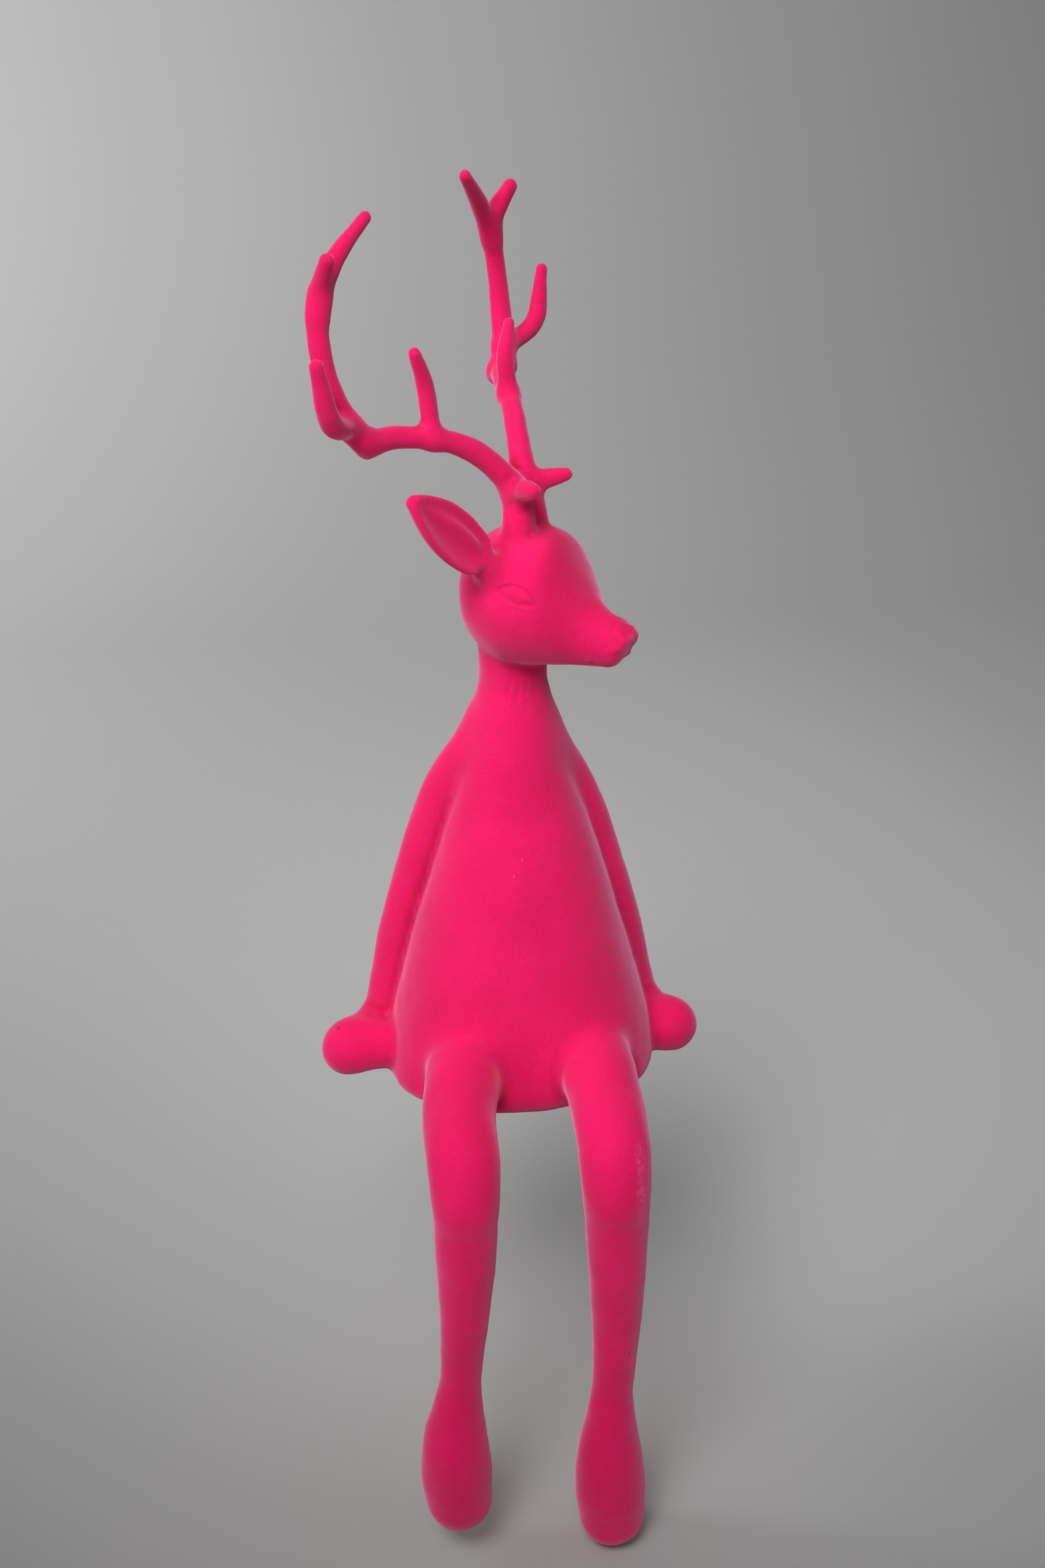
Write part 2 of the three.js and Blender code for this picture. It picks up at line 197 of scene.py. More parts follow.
# Crease depths in shares of the lid's crease: [at the middle, added towards the ends], and for the lower
# one [towards the rear, added towards the front]
UPPER_CREASE = (0.35, 0.65)
LOWER_CREASE = (0.55, 0.3)

# Strokes in the head's own frame: [start, end, width, depth], in millimetres, a ridge where the depth is
# negative. The nose's are on its left and mirrored to its right
NOSE_STROKES = [
    ((66.0, 11.0, -14.0), (77.0, 5.0, -12.0), 1.6, 0.9),
    ((77.0, 5.0, -12.0), (80.5, 0.0, -11.5), 1.6, 0.5),
    ((75.5, 8.5, -20.0), (79.5, 4.5, -19.5), 1.9, 1.3),
    ((76.5, 0.0, -26.0), (76.5, 6.5, -25.0), 1.5, 1.1),
    ((76.5, 6.5, -25.0), (62.0, 12.5, -29.0), 1.6, 0.7),
    ((73.0, 3.0, -33.0), (69.0, 9.0, -32.0), 3.0, -0.7),
    ((79.0, 2.0, -18.0), (78.0, 5.0, -22.0), 2.4, -0.8),
]
PEDICLE_STROKES = [
    ((8.0, -16.0, 40.0), (10.0, -13.0, 48.0), 1.6, 0.8),
]

# Strokes on the chest and neck: [start, end, width, depth], in millimetres
BODY_STROKES = [
    ((0.0, -42.0, 222.0), (0.0, -48.0, 196.0), 26.0, 1.6),
    ((-1.0, -22.0, 307.0), (-4.0, -22.8, 296.0), 1.7, 1.0),
    ((4.0, -22.0, 305.0), (2.0, -23.0, 291.0), 2.0, 0.9),
    ((10.0, -20.8, 308.0), (7.0, -22.0, 294.0), 1.6, 1.0),
    ((15.0, -18.8, 303.0), (14.5, -19.6, 290.0), 1.9, 1.1),
    ((9.0, -22.2, 291.0), (7.0, -23.5, 283.0), 2.0, 0.8),
]

# How far a stroke reaches in its widths, and how much of its swell is cut off at each end
STROKE_REACH = 3.0
STROKE_ENDS = 0.1

# Boxes in the head's own frame: the nose with its mouth, its tip, and the neck's strokes
NOSE_BOX = ((38.0, -24.0, -44.0), (86.0, 24.0, -2.0))
NOSE_TIP_BOX = ((60.0, -18.0, -42.0), (90.0, 18.0, -4.0))
NECK_STROKES_BOX = ((-16.0, -34.0, -80.0), (14.0, -6.0, -50.0))

# Unevenness: [wavelength, height, seed], and where the nose's begins and how soon it is full
BODY_LUMPS = [(42.0, 0.22, 1), (17.0, 0.07, 2)]
NOSE_LUMPS = (9.0, 0.28, 3)
NOSE_LUMPS_FROM = 62.0
NOSE_LUMPS_SPAN = 8.0
LUMP_WAVES = 14
LUMP_SPREAD = (0.7, 1.4)

# Flock: sizes and depths of its grain in millimetres, and its colours
FIBRE_SIZE = 0.75
FIBRE_DEPTH = 0.07
CLUMP_SIZE = 3.2
CLUMP_DEPTH = 0.06
CLOUD_SIZE = 28.0
FLOCK_DEEP = (0.72, 0.006, 0.1)
FLOCK_MAIN = (0.8, 0.008, 0.12)
FLOCK_LIGHT = (0.92, 0.03, 0.2)
# The dark colour serves the flock's dark fibres and marks, and is also painted into hollows as shade
FLOCK_DARK = (0.3, 0.002, 0.03)
FLOCK_RUBBED = (0.9, 0.075, 0.26)

# How strongly the flock's colours show, and how dark the painted shade in its hollows is
CLUMP_LIGHT = 0.1
GRAIN_LIGHT = 0.18
GRAIN_DARK = 0.1
RECESS_PAINTED_SHADE = 0.75
EDGE_RUBBED = 0.35
SCUFF_SIZE = 2.1
SCUFF_STRENGTH = (0.1, 0.7)

# Shine of the flock
FLOCK_SPECULAR = 0.12
FLOCK_ROUGHNESS = (0.85, 1.0)
SHEEN_WEIGHT = 0.75
SHEEN_ROUGHNESS = 0.42
SHEEN_TINT = (1.0, 0.42, 0.72, 1)

# Rubbed places: [centre, half size], and small marks with their colour, in millimetres
SCUFFS = [((66.0, -172.0, 26.0), (5.0, 15.0, 16.0)), ((65.0, -181.0, 0.0), (4.6, 9.0, 26.0))]
MARKS = [
    ((-129.7, -14.7, 36.5), (1.6, 2.0, 0.8), FLOCK_DARK),
    ((59.7, -178.7, -137.9), (0.8, 1.5, 2.4), FLOCK_DARK),
    ((47.8, -50.0, 328.7), (2.6, 2.4, 1.1), FLOCK_DARK),
    ((72.4, -52.7, 342.5), (5.5, 5.5, 6.5), FLOCK_LIGHT),
    ((1.4, -49.2, 185.8), (0.5, 1.5, 1.4), FLOCK_RUBBED),
    ((-4.4, -51.7, 175.2), (0.5, 1.5, 1.3), FLOCK_RUBBED),
]

# Body outline from the seat up: [share of the height, share of the half width]
BODY_PROFILE = [
    (0.0, 0.98), (0.01, 0.993), (0.03, 1.0), (0.07, 0.99), (0.115, 0.964), (0.226, 0.88), (0.35, 0.777),
    (0.5, 0.643), (0.65, 0.502), (0.72, 0.436), (0.78, 0.387), (0.83, 0.354), (0.88, 0.324), (0.93, 0.288),
    (0.96, 0.262), (1.0, 0.236), (1.12, 0.232),
]

# Middle of the body from the seat up: [share of the height, millimetres towards +X]
BODY_MIDDLE = [
    (0.0, 2.0), (0.12, 3.0), (0.35, 2.2), (0.5, 2.9), (0.65, 3.3), (0.78, 1.6), (1.0, 1.5), (1.12, 1.6),
]

# Arm from the shoulder down: [share of the body's height, how far out in shares of its half width,
# share of the distance back, share of the arm radius]
ARM_POINTS = [
    (0.88, 0.2, 0.2, 0.78), (0.8, 0.326, 0.45, 0.93), (0.72, 0.45, 0.8, 1.0), (0.6, 0.593, 1.0, 1.02),
    (0.47, 0.712, 1.0, 1.02), (0.33, 0.832, 1.0, 1.0), (0.2, 0.914, 1.0, 0.99), (0.1, 0.975, 1.0, 1.0),
    (0.06, 0.99, 1.0, 1.02),
]

# Thigh from the hip: [share of the way out to the knee, share of the seat's edge, height and radius in
# knee radii]
THIGH_POINTS = [(0.0, 0.2, 1.5, 1.1), (0.6, 0.55, 1.48, 1.08), (1.0, 0.86, 1.15, 1.03)]

# Knee: [distance behind the shin, height and radius], all in knee radii
KNEE_POINTS = [(0.45, 0.72, 1.0), (0.0, -0.1, 0.94)]

# Lower leg from the knee down: [share of the drop, share of the knee radius]
SHIN_POINTS = [
    (0.075, 0.88), (0.2, 0.815), (0.33, 0.71), (0.46, 0.618), (0.545, 0.61), (0.63, 0.74),
    (0.72, 0.945), (0.81, 1.045), (0.905, 0.99),
]

# How far out the lower legs hang, each from the knee down: [share of the drop, distance from the middle]
SHIN_SPREAD = [
    [(0, 50), (0.25, 51.5), (0.4, 54.2), (0.55, 57.6), (0.65, 60.6), (0.75, 62.4), (0.88, 61.6), (1, 60.3)],
    [(0, 51.2), (0.2, 52.4), (0.35, 52.9), (0.45, 51.9), (0.55, 50.4), (0.65, 49.6), (0.82, 50), (1, 53)],
]

# Head from the skull's middle to the nose, in shares of the muzzle's reach and the skull's radius:
# [forward, middle height, half height, half width]
HEAD_STATIONS = [
    (0.0, 0.0, 1.06, 1.0), (0.15, 0.0, 1.03, 0.97), (0.3, -0.02, 0.965, 0.88), (0.4, -0.125, 0.83, 0.77),
    (0.49, -0.28, 0.655, 0.645), (0.58, -0.415, 0.51, 0.515), (0.71, -0.49, 0.413, 0.41),
    (0.83, -0.525, 0.355, 0.35), (0.92, -0.53, 0.292, 0.31), (1.0, -0.525, 0.225, 0.27),
]

# Antler beam from the skull to its tip, in shares of the antler's height: [forward, outward, up, thickness]
BEAM_POINTS = [
    (0, 0, 0, 1.74), (0.006, -0.008, 0.104, 1.4), (-0.013, -0.016, 0.191, 1.21), (-0.058, 0.036, 0.281, 1.0),
    (-0.132, 0.131, 0.361, 0.92), (-0.232, 0.264, 0.397, 0.9), (-0.276, 0.352, 0.406, 1.05),
    (-0.313, 0.414, 0.493, 1.0), (-0.344, 0.445, 0.622, 0.87), (-0.363, 0.434, 0.759, 0.84),
    (-0.362, 0.361, 0.873, 0.78), (-0.332, 0.205, 0.994, 0.52),
]

# Tines: the place on the beam that each grows from, counted in its points, its middle, tip and thickness
TINES = [
    (2, (0.047, 0.035, 0.205), (0.097, 0.072, 0.217), (1.1, 0.78, 0.56)),
    (4.35, (-0.185, 0.182, 0.53), (-0.191, 0.231, 0.645), (0.95, 0.72, 0.48)),
    (6.05, (-0.294, 0.332, 0.382), (-0.295, 0.325, 0.345), (1.0, 0.9, 0.55)),
    (6.62, (-0.266, 0.541, 0.505), (-0.266, 0.602, 0.69), (0.95, 0.82, 0.52)),
    (9, (-0.353, 0.428, 0.829), (-0.304, 0.455, 0.93), (0.8, 0.7, 0.52)),
]

# The two antlers: [side, lean in degrees, size, tines], each tine's own [length, thickness, forward, up]
ANTLERS = [
    (-1, (0, 0, 0), 1.0,
     [(1, 1.05, 0.011, 0.013), (1, 1, 0, 0), (1, 1, 0, 0), (1, 1.05, 0, 0), (1, 1.15, 0, 0)]),
    (1, (0.8, 1.8, 0.4), 1.02,
     [(1, 1, 0, 0), (0.82, 1, 0, 0), (0.82, 1, 0, 0), (0.92, 1, 0.004, 0), (1.05, 1.2, 0, 0)]),
]

# Ear outline along its length: [share of the length, share of the half width]
EAR_PROFILE = [
    (-0.1, 0.3), (0.14, 0.62), (0.3, 0.88), (0.46, 1.0), (0.62, 0.94), (0.76, 0.75), (0.87, 0.51),
    (0.94, 0.31),
]

# The ear's raised fold and the hollow beside it: [height, place across from -1 to 1, spread, share of the
# length where it ends, share over which it fades before that]
EAR_FOLDS = [(4.6, -0.27, 0.33, 1.0, 0.4), (-1.1, -0.66, 0.14, 0.9, 0.3)]

# What joins an ear to the skull: places along, across and in front of the ear's middle, and radii
EAR_STALK = [(-8, 0, -6), (12, -1, -7), (30, -2, -11)]
EAR_STALK_RADII = (12.0, 10.0, 7.0)

# Ears, the raised one on the head's right first: [side, root in skull radii, direction]
EARS = [
    (-1, (-0.02, 0.78, 0.58), (-0.3, 0.66, 0.685)),
    (1, (-0.05, 0.85, 0.3), (-0.5, 0.81, -0.3)),
]


def hermite(rows, column, positions):
    """Smooth values through rows of (position, value, ...), straight at both ends."""
    at = np.array([row[0] for row in rows], float)
    value = np.array([row[column] for row in rows], float)
    slope = np.empty_like(value)
    slope[1:-1] = (value[2:] - value[:-2]) / (at[2:] - at[:-2])
    slope[0] = (value[1] - value[0]) / (at[1] - at[0])
    slope[-1] = (value[-1] - value[-2]) / (at[-1] - at[-2])
    i = np.clip(np.searchsorted(at, positions) - 1, 0, len(at) - 2)
    span = at[i + 1] - at[i]
    t = np.clip((positions - at[i]) / span, 0, 1)
    return ((2 * t**3 - 3 * t**2 + 1) * value[i] + (t**3 - 2 * t**2 + t) * span * slope[i]
            + (3 * t**2 - 2 * t**3) * value[i + 1] + (t**3 - t**2) * span * slope[i + 1])


def lookup(rows, column):
    """The smooth values through rows as a function that is quick for many positions."""
    at = np.linspace(rows[0][0], rows[-1][0], LOOKUP_STEPS)
    value = hermite(rows, column, at)
    return lambda positions: np.interp(positions, at, value)


def spline(points, steps):
    """A centripetal Catmull-Rom curve through the points, sampled at steps between each two."""
    points = np.asarray(points, float)
    before = 2 * points[:1] - points[1:2]
    after = 2 * points[-1:] - points[-2:-1]
    padded = np.vstack([before, points, after])
    out = []
    for i in range(len(points) - 1):
        p0, p1, p2, p3 = padded[i:i + 4]
        d0, d1, d2 = (max(np.linalg.norm(b - a), 1e-6) ** 0.5 for a, b in ((p0, p1), (p1, p2), (p2, p3)))
        m1 = ((p1 - p0) / d0 - (p2 - p0) / (d0 + d1) + (p2 - p1) / d1) * d1
        m2 = ((p2 - p1) / d1 - (p3 - p1) / (d1 + d2) + (p3 - p2) / d2) * d1
        t = (np.arange(steps) / steps)[:, None]
        out.append((2 * t**3 - 3 * t**2 + 1) * p1 + (t**3 - 2 * t**2 + t) * m1
                   + (3 * t**2 - 2 * t**3) * p2 + (t**3 - t**2) * m2)
    out.append(points[-1:])
    return np.vstack(out)


def melt(a, b, width):
    """The union of two distances with a fillet of about that width."""
    overlap = np.clip(width - np.abs(a - b), 0, None) / width
    return np.minimum(a, b) - overlap * overlap * width / 4


def carve(a, b, width):
    """What is inside both distances, with a rounded edge of about that width."""
    return -melt(-a, -b, width)


def bell(distance, width):
    """One in the middle, fading to nothing within about two widths."""
    return np.exp(-((distance / width) ** 2))


class Bar:
    """A round bar of changing radius along a smooth path, with round ends."""

    def __init__(self, points, radii, steps=BAR_STEPS):
        self.path = spline(points, steps)
        rows = [(i, radius) for i, radius in enumerate(radii)]
        self.radius = hermite(rows, 1, np.linspace(0, len(points) - 1, len(self.path)))
        self.low = (self.path - self.radius[:, None]).min(0)
        self.high = (self.path + self.radius[:, None]).max(0)

    def distance(self, points):
        """The distance from the nearest stretch of the bar."""
        nearest = np.full(len(points), FAR)
        for a, b, ra, rb in zip(self.path[:-1], self.path[1:], self.radius[:-1], self.radius[1:]):
            along = b - a
            t = np.clip((points - a) @ along / (along @ along), 0, 1)
            gap = np.linalg.norm(points - a - t[:, None] * along, axis=1) - (ra + t * (rb - ra))
            np.minimum(nearest, gap, out=nearest)
        return nearest


def within(points, low, high, margin=REACH_MARGIN):
    """Which points lie in a box grown by a margin."""
    return np.nonzero(np.all((points > low - margin) & (points < high + margin), axis=1))[0]


def add_form(distances, points, form, width, margin=REACH_MARGIN):
    """Melts one form into the distances of the points near it."""
    near = within(points, form.low, form.high, margin)
    if len(near):
        distances[near] = melt(distances[near], form.distance(points[near]), width)


def from_level(level, points):
    """A level function turned into a distance near its surface, by its own steepness."""
    here = level(points)
    steepness = np.zeros(len(points))
    for axis in range(3):
        shift = np.zeros(3)
        shift[axis] = GRADIENT_STEP
        steepness += ((level(points + shift) - level(points - shift)) / (2 * GRADIENT_STEP)) ** 2
    return np.clip(here / np.sqrt(steepness + 1e-12), -FAR, FAR)


body_share = lookup(BODY_PROFILE, 1)
body_middle = lookup(BODY_MIDDLE, 1)


def body_half_width(height):
    """Half the body's width at a height."""
    return BODY_WIDTH / 2 * body_share(height / BODY_HEIGHT)


def body_distance(points):
    """The pear-shaped body and its neck, flat underneath."""
    share = np.clip(points[:, 2] / BODY_HEIGHT, 0, 1)
    depth_share = (1 - share) * BODY_DEPTH / BODY_WIDTH + share
    depth_share = depth_share * np.where(points[:, 1] < 0, 1 + BELLY_FORWARD * (1 - share) ** 2, 1)
    power = BODY_SQUARENESS + (2 - BODY_SQUARENESS) * np.minimum(share * SQUARENESS_FADE, 1)
    across = np.abs(points[:, 0] - body_middle(share)) + 1e-9
    deep = np.abs(points[:, 1]) / depth_share + 1e-9
    radius = (across**power + deep**power) ** (1 / power)
    height = points[:, 2]
    slope = (body_half_width(height + SLOPE_STEP) - body_half_width(height - SLOPE_STEP)) / (2 * SLOPE_STEP)
    side = (radius - body_half_width(height)) / np.sqrt(1 + slope**2)
    rounding = UNDERSIDE_ROUNDING + BELLY_ROUNDING * np.clip(-2 * points[:, 1] / BODY_DEPTH, 0, 1) ** 2
    side = carve(side, -height, rounding)
    return np.maximum(side, height - NECK_TOP)


def make_arm(side):
    """An arm along the body's side and its mitten hand, as bars that melt together."""
    sign = -1 if side == 0 else 1
    points = []
    radii = []
    for share, out, back, thickness in ARM_POINTS:
        outward = out * BODY_WIDTH / 2 - ARM_CLOSER[side]
        points.append((sign * outward, back * ARM_BACK, share * BODY_HEIGHT))
        radii.append(ARM_RADIUS * thickness)
    wrist = (points[-1][0], ARM_BACK, HAND_RADIUS)
    tip = (sign * HAND_REACH[side], -HAND_FORWARD[side], HAND_RADIUS)
    heel = (sign * BODY_WIDTH * HAND_HEEL, -HAND_FORWARD[side], HAND_RADIUS)
    bars = [Bar(points, radii)]
    for start, thickness in ((wrist, WRIST_THICKNESS), (heel, HEEL_THICKNESS)):
        bars.append(Bar([start, tip], [thickness * HAND_RADIUS, HAND_RADIUS], SHORT_BAR_STEPS))
    return bars


def make_leg(side):
    """A leg from inside the belly over the seat's edge down to the foot."""
    sign = -1 if side == 0 else 1
    spread = lookup(SHIN_SPREAD[side], 1)
    knee = sign * float(spread(0))
    shin_y = -SEAT_EDGE - SHIN_GAP - KNEE_RADIUS * SHIN_SETBACK
    points = []
    radii = []
    for way, forward, height, thickness in THIGH_POINTS:
        outward = HIP_SPREAD[side] * (1 - way) + abs(knee) * way
        points.append((sign * outward, -SEAT_EDGE * forward, KNEE_RADIUS * height))
        radii.append(KNEE_RADIUS * thickness)
    for behind, height, thickness in KNEE_POINTS:
        points.append((knee, shin_y + KNEE_RADIUS * behind, KNEE_RADIUS * height))
        radii.append(KNEE_RADIUS * thickness)
    for share, thickness in SHIN_POINTS:
        points.append((sign * float(spread(share)), shin_y, -share * LEG_DROP[side]))
        radii.append(KNEE_RADIUS * thickness)
    return Bar(points, radii)


head_middle = lookup(HEAD_STATIONS, 1)
head_half_height = lookup(HEAD_STATIONS, 2)
head_half_width = lookup(HEAD_STATIONS, 3)


def skull_level(points):
    """Zero on the skin of the skull and muzzle, in the head's own frame."""
    forward, side, up = points.T
    share = np.clip(forward / MUZZLE_REACH, 0, 1)
    back = np.clip(-forward / SKULL_RADIUS, 0, None)
    nose = np.clip(forward / MUZZLE_REACH - NOSE_ROUND_FROM, 0, None) / (1 - NOSE_ROUND_FROM)
    room = 1 - back**2 - nose**2
    rise = (up / SKULL_RADIUS - head_middle(share)) / head_half_height(share)
    spread = side / SKULL_RADIUS / head_half_width(share)
    return rise**2 + spread**2 - room


class Skull:
    """The skull and muzzle, cut off slanting at the nose."""

    low = np.array([-SKULL_RADIUS, -SKULL_RADIUS, -SKULL_RADIUS * SKULL_TALLNESS])
    high = np.array([MUZZLE_REACH, SKULL_RADIUS, SKULL_RADIUS * SKULL_TALLNESS])

    def distance(self, points):
        slope = math.radians(NOSE_SLOPE)
        before_nose = (points - NOSE_TOP) @ (math.cos(slope), 0, -math.sin(slope))
        return carve(from_level(skull_level, points), before_nose, NOSE_ROUNDING)


class Ear:
    """A leaf-shaped ear, cupped towards the front, with a raised fold along its middle."""

    def __init__(self, sign, root, direction):
        self.sign = sign
        self.root = np.array(root) * SKULL_RADIUS
        self.axis = np.array(direction) / np.linalg.norm(direction)
        front = np.array([1.0, 0, 0])
        front -= front @ self.axis * self.axis
        self.front = front / np.linalg.norm(front)
        self.across = np.cross(self.axis, self.front)
        shares = np.linspace(EAR_PROFILE[0][0], EAR_PROFILE[-1][0], EAR_OUTLINE_STEPS)
        widths = hermite(EAR_PROFILE, 1, shares) * EAR_WIDTH / 2
        self.width = lookup(EAR_PROFILE, 1)
        self.leaf = list(zip(shares * EAR_LENGTH, widths - EAR_THICKNESS / 2))
        ends = np.array([self.root, self.root + self.axis * EAR_LENGTH]) * (1, sign, 1)
        self.low = ends.min(0) - EAR_WIDTH / 2
        self.high = ends.max(0) + EAR_WIDTH / 2
        stalk = [self.root + a * self.axis + b * self.across + c * self.front for a, b, c in EAR_STALK]
        self.stalk = Bar(np.array(stalk) * (1, sign, 1), EAR_STALK_RADII, SHORT_BAR_STEPS)

    def place(self, points):
        """How far along, across and in front of the ear's middle the points are."""
        offset = points * (1, self.sign, 1) - self.root
        return offset @ self.axis, offset @ self.across, offset @ self.front

    def distance(self, points):
        """The distance from the leaf and its stalk."""
        along, across, depth = self.place(points)
        outline = np.full(len(points), FAR)
        for (a, ra), (b, rb) in zip(self.leaf[:-1], self.leaf[1:]):
            t = np.clip((along - a) / (b - a), 0, 1)
            gap = np.hypot(along - a - t * (b - a), across) - (ra + t * (rb - ra))
            np.minimum(outline, gap, out=outline)
        outline = carve(outline, EAR_BASE + EAR_BASE_SLANT * across - along, EAR_BASE_ROUNDING)
        share = np.clip(along / EAR_LENGTH, 0, 1)
        half_width = self.width(share)
        u = np.clip(across / (half_width * EAR_WIDTH / 2), -1.1, 1.1)
        relief = sum(height * bell(u - place, spread) * np.clip((end - share) / fade, 0, 1)
                     for height, place, spread, end, fade in EAR_FOLDS)
        relief = relief * (1 - bell(np.clip(outline, None, 0), EAR_RIM))
        middle = relief / 2 - EAR_CUP * half_width * (1 - u * u)
        from_middle = np.abs(depth - middle)
        leaf = np.where(outline < 0, from_middle - relief / 2, np.hypot(outline, from_middle))
        return melt(leaf - EAR_THICKNESS / 2, self.stalk.distance(points), EAR_STALK_FILLET)


def make_antler(sign, lean, size, own_tines):
    """The bars of one antler: its beam first, then its five tines."""
    forward_lean, outward_lean, turn = (math.radians(angle) for angle in lean)
    rotation = np.array(Matrix.Rotation(forward_lean, 3, "X") @ Matrix.Rotation(outward_lean, 3, "Y")
                        @ Matrix.Rotation(turn, 3, "Z"))
    root = np.array([-PEDICLE_BACK, PEDICLE_SIDE, SKULL_RADIUS * PEDICLE_HEIGHT])

    def point_at(shares):
        """A place given in shares of the antler's height, in the head's own frame."""
        return (rotation @ (np.array(shares) * size * ANTLER_HEIGHT) + root) * (1, sign, 1)

    def branch(path, shares):
        """A bar through the path that ends at its last point."""
        radii = [share * ANTLER_RADIUS for share in shares]
        path = np.array(path)
        back = path[-2] - path[-1]
        path[-1] += back / np.linalg.norm(back) * radii[-1]
        return Bar(path, radii, BRANCH_STEPS)

    beam_path = [point_at(row[:3]) for row in BEAM_POINTS]
    bars = [branch(beam_path, [row[3] for row in BEAM_POINTS])]
    curve = spline(beam_path, CURVE_STEPS)
    for (start, middle, tip, thickness), (length, wider, forward, up) in zip(TINES, own_tines):
        foot = curve[int(round(start * CURVE_STEPS))]
        ends = [foot + (point_at(np.add(end, (forward, 0, up))) - foot) * length for end in (middle, tip)]
        at_foot, at_middle, at_tip = thickness
        bars.append(branch([foot, *ends], (at_foot * TINE_FOOT, at_middle * wider, at_tip * wider)))
    return bars


ARMS = [make_arm(0), make_arm(1)]
LEGS = [make_leg(0), make_leg(1)]
SKULL = Skull()
EAR_FORMS = [Ear(*ear) for ear in EARS]
ANTLER_BARS = [make_antler(*antler) for antler in ANTLERS]

turn = math.radians(HEAD_TURN - 90)
HEAD_AXES = np.array([[math.cos(turn), -math.sin(turn), 0], [math.sin(turn), math.cos(turn), 0], [0, 0, 1]])
HEAD_OFFSET = np.array([HEAD_FORWARD, 0, BODY_HEIGHT + HEAD_RISE])


def to_head(points):
    """Points of the figure in the head's own frame."""
    return points @ HEAD_AXES - HEAD_OFFSET


def melted(bars, points, width):
    """The distance to several bars that melt together."""
    distances = np.full(len(points), FAR)
    for bar in bars:
        add_form(distances, points, bar, width)
    return distances


def melt_group(distances, points, bars, inner_width, outer_width):
    """Melts bars together, and the whole of them into the figure, with a fillet width for each point."""
    low = np.min([bar.low for bar in bars], axis=0)
    high = np.max([bar.high for bar in bars], axis=0)
    near = within(points, low, high)
    if len(near):
        group = melted(bars, points[near], inner_width)
        distances[near] = melt(distances[near], group, outer_width[near])


def head_distance(points, distances):
    """The head's forms melted into distances, for points in the head's own frame."""
    add_form(distances, points, SKULL, NECK_FILLET)
    for ear in EAR_FORMS:
        add_form(distances, points, ear, EAR_FILLET, EAR_MARGIN)
    for bars in ANTLER_BARS:
        melt_group(distances, points, bars, TINE_FILLET, np.full(len(points), PEDICLE_FILLET))
    return distances


def figure_distance(points):
    """The distance of points from the figure's main skin, less than zero inside."""
    distances = np.full(len(points), FAR)
    low = np.flatnonzero(points[:, 2] < NECK_TOP + REACH_MARGIN)
    distances[low] = np.clip(body_distance(points[low]), -FAR, FAR)
    shoulder = np.clip((points[:, 2] / BODY_HEIGHT - SHOULDER_FROM) / SHOULDER_SPAN, 0, 1)
    arm_fillet = ARM_FILLET + (SHOULDER_FILLET - ARM_FILLET) * shoulder
    for arm in ARMS:
        melt_group(distances, points, arm, WRIST_FILLET, arm_fillet)
    for leg, fillet in zip(LEGS, THIGH_FILLETS):
        add_form(distances, points, leg, fillet)
    seat = np.flatnonzero(points[:, 2] < REACH_MARGIN)
    near_seat = points[seat]
    above_seat = np.minimum(near_seat[:, 2], FAR)
    before_seat = -near_seat[:, 1] - SEAT_EDGE
    beyond_corner = np.hypot(np.maximum(above_seat, 0), np.maximum(before_seat, 0))
    clear_of_seat = beyond_corner + np.minimum(np.maximum(above_seat, before_seat), 0)
    distances[seat] = carve(distances[seat], -clear_of_seat, UNDERSIDE_ROUNDING)
    high = np.flatnonzero(points[:, 2] > BODY_HEIGHT - HEAD_MARGIN)
    if len(high):
        distances[high] = head_distance(to_head(points[high]), distances[high])
    return distances


def eye_box(sign):
    """The box that one eye's relief stays in, in the head's own frame."""
    middle = (np.array(EYE_REAR) + np.array(EYE_FRONT)) / 2 * (1, sign, 1)
    return middle - EYE_REACH, middle + EYE_REACH


def eye_relief(points, sign):
    """A low almond eyeball with creased lids, for points in the head's own frame."""
    rear = np.array(EYE_REAR)
    front = np.array(EYE_FRONT)
    middle = (rear + front) / 2
    outward = middle / (SKULL_RADIUS, SKULL_RADIUS, SKULL_RADIUS * SKULL_TALLNESS**2)
    outward /= np.linalg.norm(outward)
    length = np.linalg.norm(front - rear)
    along = (front - rear) / length
    along -= along @ outward * outward
    up = np.cross(outward, along)
    offset = points * (1, sign, 1) - middle
    share = offset @ along / (length / 2)
    height = offset @ up * math.copysign(1, up[2])
    arch = np.clip(1 - np.abs(share) ** EYE_ARCH_POWER, 0, None)
    below_upper = EYE_UPPER * arch**EYE_UPPER_POWER - height
    above_lower = EYE_LOWER * arch + height
    inside = np.minimum(below_upper, above_lower)
    upper_depth = UPPER_CREASE[0] + UPPER_CREASE[1] * np.clip(np.abs(share), 0, 1) ** 2
    lower_depth = LOWER_CREASE[0] + LOWER_CREASE[1] * np.clip(share, 0, 1)
    depth = LID_CREASE * np.where(below_upper < above_lower, upper_depth, lower_depth)
    ball = EYE_BULGE * (1 - bell(np.clip(inside, 0, None), EYE_ROUNDING))
    rim = LID_RIM * bell(inside + LID_RIM_AWAY, LID_RIM_WIDTH)
    fade = np.clip(EYE_FADE_START - np.abs(share) * EYE_FADE_RATE, 0, 1)
    fade = fade * np.clip((EYE_FADE_HEIGHT - np.abs(height)) / EYE_FADE_HEIGHT_SPAN, 0, 1)
    outside = np.clip((offset @ outward + EYE_FADE_DEPTH) / EYE_FADE_DEPTH_SPAN, 0, 1)
    return (ball + rim - depth * bell(inside, LID_CREASE_WIDTH)) * fade * outside


